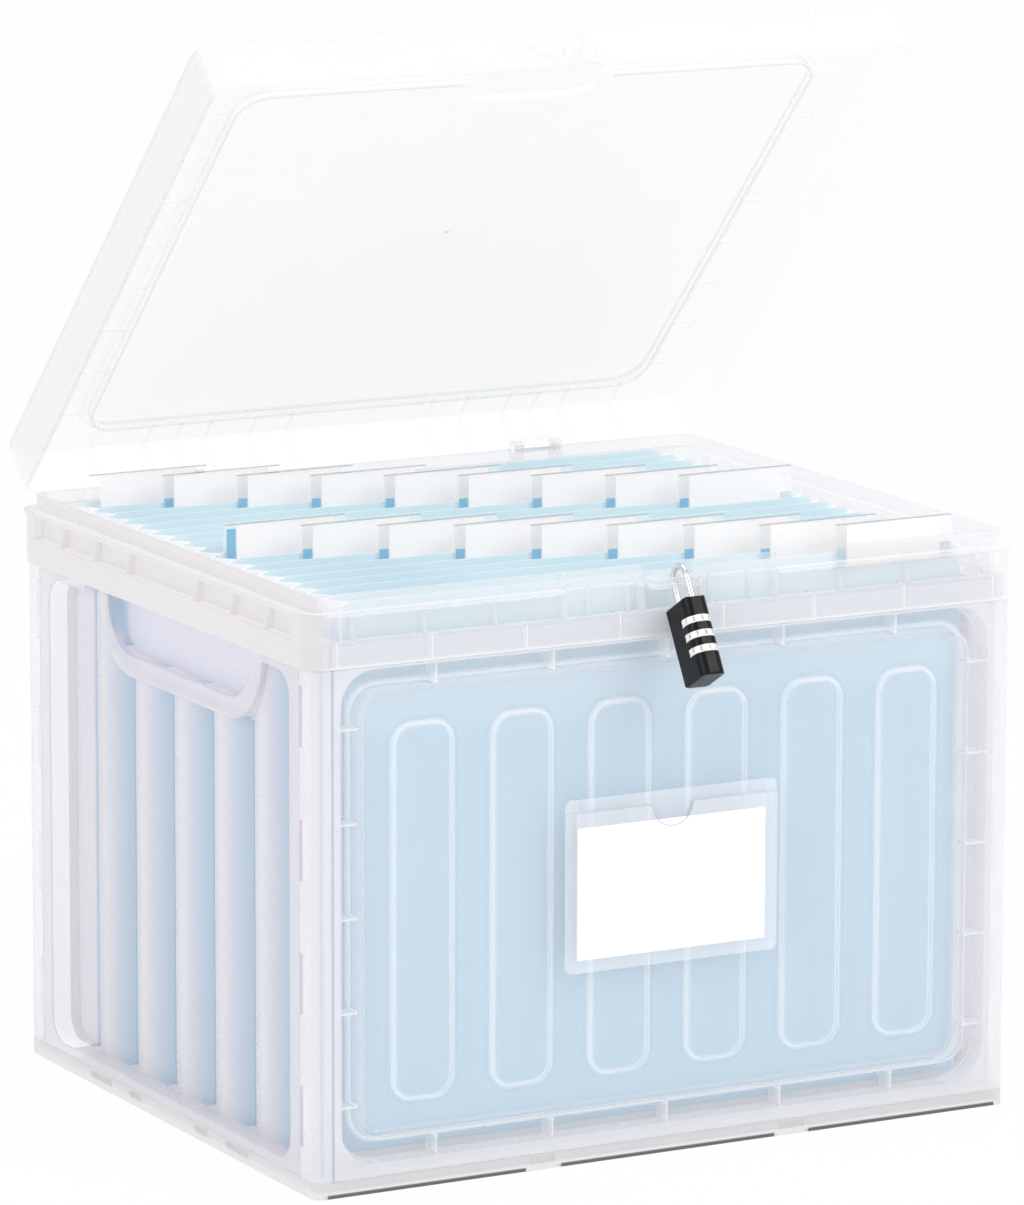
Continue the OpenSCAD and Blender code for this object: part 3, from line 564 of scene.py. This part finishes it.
@dataclass(frozen=True)
class BasePlastic(ClearPlastic):
    """The base's plastic, with a painted shadow line along the foot of its front between the clips, and
    painted glow elsewhere.
    """

    # line is the colour of the painted shadow along the foot
    line: Colour = srgb(96, 98, 104)
    clip: float = 0.0655
    clip_half: float = 0.009
    foot_top: float = 0.0018
    foot_front: float = 0.148
    foot_half: float = 0.176

    def moulding(self, shader: Shader, haze: Wire, tone: Wire) -> tuple[Wire, Wire, Any]:
        """Paints a shadow line along the foot, and glow over the rest."""
        across, front, height = shader.axis(0), 0.0 - shader.axis(1), shader.axis(2)
        free = beyond(absolute(absolute(across) - self.clip), self.clip_half)
        # Painted shadow along the front's foot where it meets the floor, left off at the clips
        foot = (1.0 - beyond(height, self.foot_top)) * beyond(front, self.foot_front)
        line = foot * free * (1.0 - beyond(absolute(across), self.foot_half))
        return haze + line * 0.5, shader.blend(line, tone, self.line), (1.0 - line) * 0.4


@dataclass(frozen=True)
class TabFilm(ClearPlastic):
    """An index tab's clear film, with painted shade along its top edge, where the edge is seen end on, and
    painted glow.
    """

    # line is the colour of the painted shade along the top edge
    line: Colour = srgb(104, 110, 118)
    top: float = 0.283

    def moulding(self, shader: Shader, haze: Wire, tone: Wire) -> tuple[Wire, Wire, Any]:
        """Paints shade along the top edge, and glow over the whole film."""
        line = beyond(shader.axis(2), self.top - 0.0002, 0.0002)
        return haze + line * 0.4, shader.blend(line * 0.8, tone, self.line), 0.3


@dataclass(frozen=True)
class LabelFilm(ClearPlastic):
    """The label pocket's film, with painted grey shade where the front sheet's cut edge is seen end on."""

    # line is the colour of the painted shade along the cut edge
    line: Colour = srgb(168, 172, 180)
    cut: float = 0.1648
    thumb: float = 0.0104
    cut_half: float = 0.0006

    def moulding(self, shader: Shader, haze: Wire, tone: Wire) -> tuple[Wire, Wire, Any]:
        """Paints shade along the front sheet's top edge and round its thumb notch."""
        across, below = shader.axis(0), self.cut - shader.axis(2)
        away = (across**2 + below**2) ** 0.5
        notch = stripe(away, self.thumb, self.cut_half) * beyond(below, 0.0, 0.0002)
        top = stripe(below, 0.0, self.cut_half) * beyond(absolute(across), self.thumb)
        line = greater(notch, top * 0.6)
        return haze + line * 0.35, shader.blend(line, tone, self.line), 0.0


@dataclass(frozen=True)
class SheetPlastic:
    """Stiff coloured sheet with a fine pressed texture."""

    name: str
    tint: Colour
    # Lighter towards the top, from deep below low to tint above high: on the blue sheets this is painted
    # light where their tops catch it, on the folds the white of their tops; deep also sets the mottle
    deep: Colour
    low: float
    high: float
    # Painted glow: light of its own that lifts the sheet's shading, standing in for light passing through the
    # walls
    glow: float = 0.1

    def make(self) -> bpy.types.Material:
        """Builds the material."""
        shader = Shader(self.name)
        grain = shader.noise(1600.0, 2.0, (1.0, 1.0, 0.6))
        cloud = shader.noise(14.0, 2.0)
        height = shader.axis(2).clipped(self.low, self.high)
        tone = shader.blend(height, self.deep, self.tint)
        mottled = shader.blend(cloud.clipped(0.35, 0.75) * 0.25, tone, self.deep)
        return shader.surface(
            {
                "Base Color": mottled,
                "Roughness": 0.42 + (grain - 0.5) * 0.2,
                "Normal": shader.bump(grain, 0.0001, 0.3),
                "Emission Color": mottled,
                "Emission Strength": self.glow,
            }
        )


@dataclass(frozen=True)
class Card:
    """Smooth white card with a faint tooth."""

    name: str
    tint: Colour
    # Painted glow: light of its own that keeps the cards white where they lie in shade
    glow: float

    def make(self) -> bpy.types.Material:
        """Builds the material."""
        shader = Shader(self.name)
        fibre = shader.noise(2200.0, 4.0, (1.0, 1.0, 0.35))
        tone = shader.blend(fibre.clipped(0.35, 0.8), self.tint, tuple(c * 0.965 for c in self.tint))
        return shader.surface(
            {
                "Base Color": tone,
                "Roughness": 0.7 + (fibre - 0.5) * 0.15,
                "Normal": shader.bump(fibre, 0.00005, 0.4),
                "Emission Color": tone,
                "Emission Strength": self.glow,
            }
        )


@dataclass(frozen=True)
class BrightMetal:
    """Polished wire with faint drawing lines."""

    name: str
    tint: Colour
    roughness: float
    # Painted glow: light of its own that brightens the wire
    glow: float = 0.0

    def make(self) -> bpy.types.Material:
        """Builds the material."""
        shader = Shader(self.name)
        drawn = shader.noise(900.0, 3.0, (1.0, 0.12, 0.12))
        smudge = shader.noise(160.0, 3.0)
        dulled = tuple(c * 0.85 for c in self.tint)
        return shader.surface(
            {
                "Base Color": shader.blend(smudge.clipped(0.4, 0.75) * 0.5, self.tint, dulled),
                "Metallic": 1.0,
                "Roughness": self.roughness + (smudge - 0.4) * 0.12,
                "Normal": shader.bump(drawn, 0.00003, 0.3),
                "Emission Color": self.tint,
                "Emission Strength": self.glow,
            }
        )


@dataclass(frozen=True)
class Enamel:
    """Painted metal with a light orange peel, worn patches and rounded edges."""

    name: str
    tint: Colour
    worn: Colour
    roughness: float
    coat: float = 0.25
    rounding: float = 0.0004

    def make(self) -> bpy.types.Material:
        """Builds the material."""
        shader = Shader(self.name)
        peel = shader.noise(700.0, 2.0)
        dust = shader.noise(240.0, 4.0)
        rounded = shader.node("ShaderNodeBevel", {"samples": 4}, {"Radius": self.rounding}).out(0)
        return shader.surface(
            {
                "Base Color": shader.blend(dust.clipped(0.58, 0.8) * 0.35, self.tint, self.worn),
                "Roughness": self.roughness + (dust - 0.5) * 0.2,
                "Coat Weight": self.coat + (peel - 0.5) * self.coat * 0.8,
                "Specular IOR Level": 0.2 + self.coat,
                "Coat Roughness": 0.12,
                "Normal": shader.bump(peel, 0.00006, 0.35, rounded),
            }
        )


class Finish(Enum):
    """The finishes of the box's pieces."""

    WALL = LongWallPlastic("wall_plastic", srgb(244, 244, 248), 0.15, 0.5, glow=0.075)
    SIDE = FlutedPlastic("side_wall_plastic", srgb(236, 233, 238), 0.5, 0.8, glow=0.06)
    RIM = RimPlastic("rim_plastic", srgb(244, 244, 247), 0.22, 0.6, glow=0.06)
    LID = LidPlastic("lid_plastic", srgb(251, 250, 250), 0.042, 0.36, glow=0.11)
    BASE = BasePlastic("base_plastic", srgb(227, 226, 227), 0.46, 0.8, glow=0.065)
    FILM = LabelFilm("label_film", srgb(244, 247, 252), 0.2, 0.45, roughness=0.12, rounding=0.0003, glow=0.2)
    TAB = TabFilm("tab_film", srgb(249, 249, 250), 0.1, 0.5, roughness=0.1, rounding=0.0002, glow=0.2)
    SHEET = SheetPlastic("blue_sheet", srgb(225, 241, 246), srgb(185, 213, 229), 0.2, 0.266, glow=0.095)
    FOLD = SheetPlastic("pale_fold", srgb(240, 240, 242), srgb(206, 217, 230), 0.255, 0.264, glow=0.22)
    PAPER = Card("white_card", srgb(253, 253, 253), 0.14)
    # The tab cards' warm tint offsets blue light bounced from the sheets
    TAB_PAPER = Card("tab_card", srgb(249, 246, 245), 0.13)
    WELD = SheetPlastic("deep_blue_weld", srgb(72, 178, 214), srgb(44, 158, 204), 0.262, 0.275, glow=0.1)
    WIRE = BrightMetal("shackle_steel", srgb(240, 240, 242), 0.22)
    PIN = BrightMetal("pin_steel", srgb(236, 237, 240), 0.5, glow=0.35)
    CASE = Enamel("lock_enamel", srgb(3, 3, 4), srgb(12, 12, 13), 0.34, coat=0.04)
    DIAL = Enamel("dial_enamel", srgb(250, 250, 250), srgb(232, 231, 229), 0.38)
    INK = Enamel("numeral_ink", srgb(178, 178, 180), srgb(198, 198, 200), 0.5)
    MARK = ClearPlastic(
        "gate_plastic", srgb(208, 212, 218), 0.35, 0.6, roughness=0.3, rounding=0.0002, glow=0.25
    )


class Dresser:
    """Makes each finish once and puts it on objects."""

    def __init__(self) -> None:
        """Starts with no finish made."""
        self.made: dict[Finish, bpy.types.Material] = {}

    def material(self, finish: Finish) -> bpy.types.Material:
        """Gives a finish's material, and makes it the first time."""
        if finish not in self.made:
            self.made[finish] = finish.value.make()
        return self.made[finish]

    def put(self, thing: bpy.types.Object, finish: Finish) -> None:
        """Puts a finish on every slot of an object.

        Args:
            thing: The object.
            finish: Its finish.
        """
        material = self.material(finish)
        if not thing.material_slots:
            thing.data.materials.append(material)
        for place in thing.material_slots:
            place.material = material

    def node(self, name: str, finish: Finish) -> None:
        """Puts a finish on a CAD node."""
        self.put(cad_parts[name], finish)
        LOG.info("dressed %s in %s", name, finish.name)


def clear_selection() -> None:
    """Deselects everything and leaves edit mode."""
    if bpy.context.object and bpy.context.object.mode != "OBJECT":
        bpy.ops.object.mode_set(mode="OBJECT")
    bpy.ops.object.select_all(action="DESELECT")


def chamfered_bar(name: str, low: Vector, high: Vector, chamfer: float) -> bpy.types.Object:
    """Makes a small bar with chamfered edges, with its place in its mesh.

    Args:
        name: The bar's name.
        low: Its lowest corner.
        high: Its highest corner.
        chamfer: The width of its chamfers.

    Returns:
        The bar.
    """
    clear_selection()
    bpy.ops.mesh.primitive_cube_add(size=1.0, location=(0, 0, 0))
    bar = bpy.context.object
    bar.name = name
    size, middle = high - low, (high + low) / 2
    bpy.ops.object.mode_set(mode="EDIT")
    bpy.ops.transform.resize(value=size)
    bpy.ops.transform.translate(value=middle)
    bpy.ops.mesh.bevel(offset=chamfer, segments=1)
    bpy.ops.object.mode_set(mode="OBJECT")
    return bar


def joined(pieces: list[bpy.types.Object], name: str) -> bpy.types.Object:
    """Joins several pieces into one.

    Args:
        pieces: The pieces.
        name: The joined piece's name.

    Returns:
        The joined piece.
    """
    clear_selection()
    for piece in pieces:
        piece.select_set(True)
    bpy.context.view_layer.objects.active = pieces[0]
    if len(pieces) > 1:
        bpy.ops.object.join()
    whole = bpy.context.object
    whole.name = name
    return whole


@dataclass
class BoxShell:
    """The base, the four walls and the rim."""

    finishes: dict[str, Finish] = field(
        default_factory=lambda: {
            "base_tray": Finish.BASE,
            "front_panel": Finish.WALL,
            "back_panel": Finish.WALL,
            "left_panel": Finish.SIDE,
            "right_panel": Finish.SIDE,
            "rim_frame": Finish.RIM,
            "hinge_pins": Finish.PIN,
        }
    )

    def dress(self, dresser: Dresser) -> None:
        """Puts each node's finish on it."""
        for name, finish in self.finishes.items():
            dresser.node(name, finish)


@dataclass
class LidShell:
    """The hinged lid."""

    def dress(self, dresser: Dresser) -> None:
        """Puts the lid's finish on it."""
        dresser.node("lid", Finish.LID)


@dataclass
class ExpandingFile:
    """The file's sheets, folds, index tabs and their cards."""

    finishes: dict[str, Finish] = field(
        default_factory=lambda: {
            "file_base": Finish.SHEET,
            "file_front_cover": Finish.SHEET,
            "file_back_cover": Finish.SHEET,
            "file_dividers": Finish.SHEET,
            "file_gusset_left": Finish.FOLD,
            "file_gusset_right": Finish.FOLD,
            "back_row_tabs": Finish.TAB,
            "front_row_tabs": Finish.TAB,
            "back_row_cards": Finish.TAB_PAPER,
            "front_row_cards": Finish.TAB_PAPER,
        }
    )

    sheets: int = 18
    row: int = 9
    sheet_top: float = 270 * MM
    first_front: float = 137.7 * MM
    pitch: float = 16.247 * MM
    tab_depth: float = 2.2 * MM
    tab_half: float = 31.0 * MM
    first_tab: float = -124.6 * MM
    tab_step: float = 31.15 * MM
    weld_rise: float = 1.6 * MM
    first_weld_rise: float = 11.0 * MM
    weld_drop: float = 7.2 * MM
    weld_inset: float = 0.8 * MM
    weld_right: float = 5.4 * MM
    weld_chamfer: float = 0.12 * MM

    def dress(self, dresser: Dresser) -> None:
        """Puts each node's finish on it, and the coloured welds in the tabs' left margins."""
        for name, finish in self.finishes.items():
            dresser.node(name, finish)
        self.welds(dresser)

    def welds(self, dresser: Dresser) -> None:
        """Makes the blue strip that shows in the left margin of each index tab."""
        made: list[bpy.types.Object] = []
        for index in range(1, self.sheets):
            column = index % self.row
            left = self.first_tab + column * self.tab_step - self.tab_half
            front = self.first_front - index * self.pitch - self.tab_depth
            top = self.sheet_top + (self.first_weld_rise if index == self.row else self.weld_rise)
            low = Vector((left + self.weld_inset, front + self.weld_inset, self.sheet_top - self.weld_drop))
            high = Vector((left + self.weld_right, front + self.tab_depth - self.weld_inset, top))
            made.append(chamfered_bar(f"weld_{index}", low, high, self.weld_chamfer))
        strip = joined(made, "tab_welds")
        dresser.put(strip, Finish.WELD)
        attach(strip, "box")
        LOG.info("made %s", strip.name)


@dataclass
class GateMarks:
    """The small round marks where the plastic entered the moulds of the lid and the left wall."""

    radius: float = 1.1 * MM
    height: float = 0.5 * MM
    sides: int = 24
    marks: tuple[tuple[str, str, str, tuple[float, float, float], float], ...] = (
        ("lid_gate_mark", "lid", "lid_plastic", (-6.4, 54.13, 400.72), 134.0),
        ("wall_gate_mark", "box", "clear_plastic", (-171.35, 6.1, 125.5), 90.0),
    )

    def dress(self, dresser: Dresser) -> None:
        """Makes each mark as a low chamfered disc on its surface."""
        for name, body, slot, place, tilt in self.marks:
            clear_selection()
            bpy.ops.mesh.primitive_cylinder_add(
                vertices=self.sides, radius=self.radius, depth=self.height, location=(0, 0, 0)
            )
            mark = bpy.context.object
            mark.name = name
            bpy.ops.object.mode_set(mode="EDIT")
            bpy.ops.mesh.bevel(offset=self.height * 0.3, segments=2)
            bpy.ops.object.mode_set(mode="OBJECT")
            axis = "X" if body == "lid" else "Y"
            turn = Matrix.Rotation(math.radians(tilt), 4, axis)
            mark.data.transform(Matrix.Translation(Vector(place) * MM) @ turn)
            dresser.put(mark, Finish.MARK)
            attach(mark, body)
            LOG.info("made %s", mark.name)


@dataclass
class LabelPocket:
    """The clear pocket on the front and its card."""

    def dress(self, dresser: Dresser) -> None:
        """Puts the film and card finishes on."""
        dresser.node("label_sleeve", Finish.FILM)
        dresser.node("label_card", Finish.PAPER)


@dataclass
class Padlock:
    """The dial padlock, with numerals round its dials."""

    lean: float = math.radians(30)
    dial_radius: float = 6.6 * MM
    numeral_size: float = 2.5 * MM
    numeral_lift: float = 0.03 * MM
    dials: tuple[str, ...] = ("dial_upper", "dial_middle", "dial_lower")
    bodies: tuple[str, ...] = ("upper_dial", "middle_dial", "lower_dial")
    firsts: tuple[int, ...] = (3, 8, 1)
    numerals_round: int = 10

    def dress(self, dresser: Dresser) -> None:
        """Puts the lock's finishes on and adds the numerals."""
        dresser.node("shackle", Finish.WIRE)
        dresser.node("lock_case", Finish.CASE)
        dresser.node("dial_spindle", Finish.PIN)
        for name, body, first in zip(self.dials, self.bodies, self.firsts):
            dresser.node(name, Finish.DIAL)
            self.numerals(name, body, first, dresser)

    def numerals(self, node: str, body: str, first: int, dresser: Dresser) -> None:
        """Sets ten numerals round one dial.

        Args:
            node: The dial's node.
            body: The body that the dial is.
            first: The numeral that faces the front.
            dresser: Gives the ink.
        """
        low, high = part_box(node)
        middle = (low + high) / 2
        lean = Matrix.Rotation(-self.lean, 4, "X")
        made: list[bpy.types.Object] = []
        for step in range(self.numerals_round):
            clear_selection()
            bpy.ops.object.text_add(location=(0, 0, 0))
            numeral = bpy.context.object
            numeral.data.body = str((first + step) % self.numerals_round)
            numeral.data.size = self.numeral_size
            numeral.data.align_x = "CENTER"
            numeral.data.align_y = "CENTER"
            numeral.data.extrude = self.numeral_lift
            bpy.ops.object.convert(target="MESH")
            numeral = bpy.context.object
            turn = Matrix.Rotation(math.radians(360 / self.numerals_round * step), 4, "Z")
            stand = Matrix.Translation((0, -self.dial_radius, 0)) @ Matrix.Rotation(math.radians(90), 4, "X")
            numeral.data.transform(Matrix.Translation(middle) @ lean @ turn @ stand)
            made.append(numeral)
        ring = joined(made, f"{node}_numerals")
        dresser.put(ring, Finish.INK)
        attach(ring, body)
        LOG.info("made %s", ring.name)


@dataclass
class Studio:
    """The camera, the floor, the lamps and the white surround."""

    azimuth: float = -28.433
    elevation: float = 11.15
    roll: float = 0.141
    distance: float = 3.5458
    target: tuple[float, float, float] = (-0.00023, 0.0, 0.2309)
    focal_pixels: float = 7516.3
    image_width: float = 1024.0
    sensor_width: float = 36.0
    clip: tuple[float, float] = (0.1, 60.0)
    floor_size: float = 30.0
    floor_plain: float = 0.94
    world_light: float = 0.66
    lamps: tuple[tuple[str, tuple[float, float, float], float, float], ...] = (
        ("key_lamp", (1.7, -3.0, 2.6), 1.8, 40.0),
        ("fill_lamp", (-3.2, -1.4, 1.5), 2.0, 28.0),
        ("top_lamp", (0.0, 0.4, 3.2), 2.4, 24.0),
    )

    def build(self) -> None:
        """Adds the camera, floor, world and lamps."""
        self.camera()
        self.floor()
        self.world()
        for name, place, size, power in self.lamps:
            self.lamp(name, place, size, power)

    def camera(self) -> None:
        """Sets the camera at the photograph's place."""
        azimuth, elevation = math.radians(self.azimuth), math.radians(self.elevation)
        level = math.cos(elevation)
        back = Vector((math.sin(azimuth) * level, -math.cos(azimuth) * level, math.sin(elevation)))
        side = (-back).cross(Vector((0, 0, 1))).normalized()
        rise = side.cross(-back)
        tilt = math.radians(self.roll)
        right = side * math.cos(tilt) + rise * math.sin(tilt)
        upward = rise * math.cos(tilt) - side * math.sin(tilt)
        data = bpy.data.cameras.new("photo_camera")
        data.sensor_fit = "HORIZONTAL"
        data.sensor_width = self.sensor_width
        data.lens = self.focal_pixels * self.sensor_width / self.image_width
        data.clip_start, data.clip_end = self.clip
        camera = bpy.data.objects.new("photo_camera", data)
        bpy.context.scene.collection.objects.link(camera)
        turn = Matrix((right, upward, back)).transposed().to_4x4()
        camera.matrix_world = Matrix.Translation(Vector(self.target) + back * self.distance) @ turn
        bpy.context.scene.camera = camera

    def floor(self) -> None:
        """Adds the white floor, which keeps only the object's shadow."""
        clear_selection()
        bpy.ops.mesh.primitive_plane_add(size=self.floor_size, location=(0, 0, 0))
        floor = bpy.context.object
        floor.name = "studio_floor"
        shader = Shader("studio_white")
        light = shader.node("ShaderNodeLightPath")
        looked = light.out("Is Camera Ray") + light.out("Is Glossy Ray") + light.out("Is Transmission Ray")
        plain_share = looked.clipped(0, 1) * self.floor_plain
        lit = shader.node("ShaderNodeBsdfDiffuse", None, {"Color": srgb(252, 252, 253)})
        plain = shader.node("ShaderNodeEmission", None, {"Color": (1.0, 1.0, 1.0), "Strength": 1.0})
        mixed = shader.node("ShaderNodeMixShader", None, {0: plain_share, 1: lit.out(0), 2: plain.out(0)})
        shader.node("ShaderNodeOutputMaterial", None, {"Surface": mixed.out(0)})
        floor.data.materials.append(shader.material)

    def world(self) -> None:
        """Adds the surround: white to the eye, softer as a light."""
        world = bpy.data.worlds.new("studio_world")
        bpy.context.scene.world = world
        world.use_nodes = True
        tree = world.node_tree
        tree.nodes.clear()
        path = tree.nodes.new("ShaderNodeLightPath")
        either = tree.nodes.new("ShaderNodeMath")
        either.operation = "MAXIMUM"
        tree.links.new(path.outputs["Is Camera Ray"], either.inputs[0])
        tree.links.new(path.outputs["Is Transmission Ray"], either.inputs[1])
        strength = tree.nodes.new("ShaderNodeMapRange")
        tree.links.new(either.outputs[0], strength.inputs["Value"])
        strength.inputs["To Min"].default_value = self.world_light
        strength.inputs["To Max"].default_value = 1.0
        background = tree.nodes.new("ShaderNodeBackground")
        background.inputs["Color"].default_value = (1.0, 1.0, 1.0, 1.0)
        tree.links.new(strength.outputs[0], background.inputs["Strength"])
        output = tree.nodes.new("ShaderNodeOutputWorld")
        tree.links.new(background.outputs[0], output.inputs["Surface"])

    def lamp(self, name: str, place: tuple[float, float, float], size: float, power: float) -> None:
        """Adds a soft square lamp that faces the box.

        Args:
            name: The lamp's name.
            place: Where it stands, in metres.
            size: Its side, in metres.
            power: Its power, in watts.
        """
        data = bpy.data.lights.new(name, "AREA")
        data.size = size
        data.energy = power
        lamp = bpy.data.objects.new(name, data)
        bpy.context.scene.collection.objects.link(lamp)
        aim = (Vector((0, 0, 0.2)) - Vector(place)).to_track_quat("-Z", "Y")
        lamp.matrix_world = Matrix.Translation(Vector(place)) @ aim.to_matrix().to_4x4()


def main() -> None:
    """Builds the studio, dresses the box and reports each part."""
    logging.basicConfig(level=logging.INFO, format="%(name)s: %(message)s")
    bpy.context.scene.view_settings.view_transform = "Standard"
    Studio().build()
    dresser = Dresser()
    for part in (BoxShell(), LidShell(), ExpandingFile(), GateMarks(), LabelPocket(), Padlock()):
        part.dress(dresser)
        LOG.info("finished %s", type(part).__name__)


if __name__ == "__main__":
    main()
